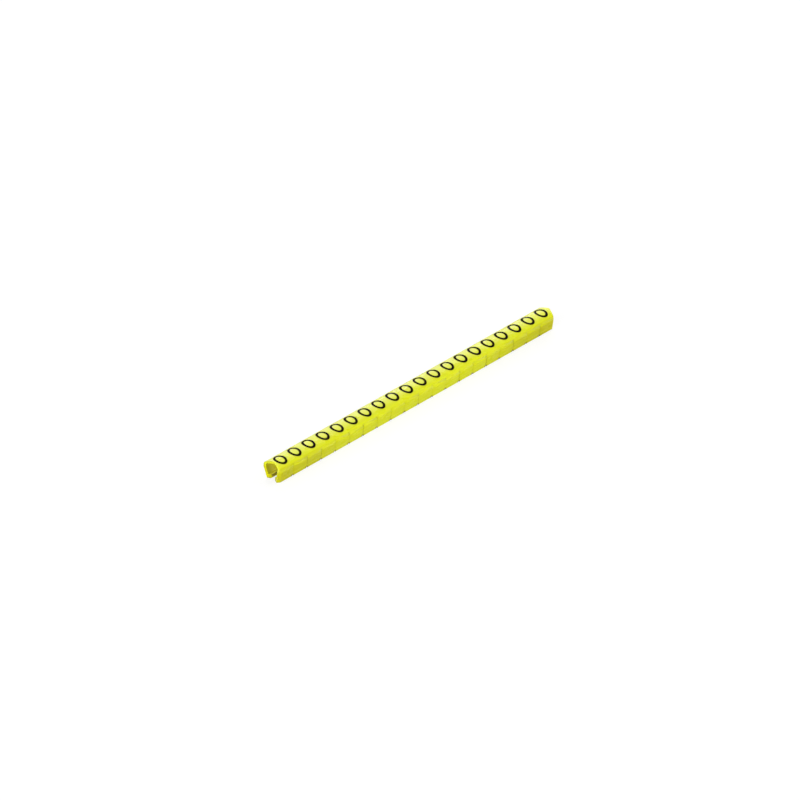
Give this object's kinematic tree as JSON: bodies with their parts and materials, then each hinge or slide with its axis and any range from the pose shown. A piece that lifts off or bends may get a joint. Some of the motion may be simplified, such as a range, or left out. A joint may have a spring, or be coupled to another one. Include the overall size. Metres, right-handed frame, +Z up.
{
  "type": "cable marker",
  "caption": "Straight strip of small clip-on wire markers: an open-slit plastic profile with a crowned print face, chevron-cut ends and part-cuts between markers.",
  "frame": {"origin": "middle of the strip's box, at the height of the feet it rests on", "axes": "+X along the strip, the way the chevrons point; +Z up out of the print face; the slit faces -Z"},
  "size_m": [0.0608, 0.0034, 0.0032],
  "materials": {
    "marker_yellow": "soft yellow plastic, satin as extruded",
    "print_ink": "black marking ink on the print face"
  },
  "bodies": {
    "root": {"marker_strip": "marker_yellow"}
  },
  "joints": []
}
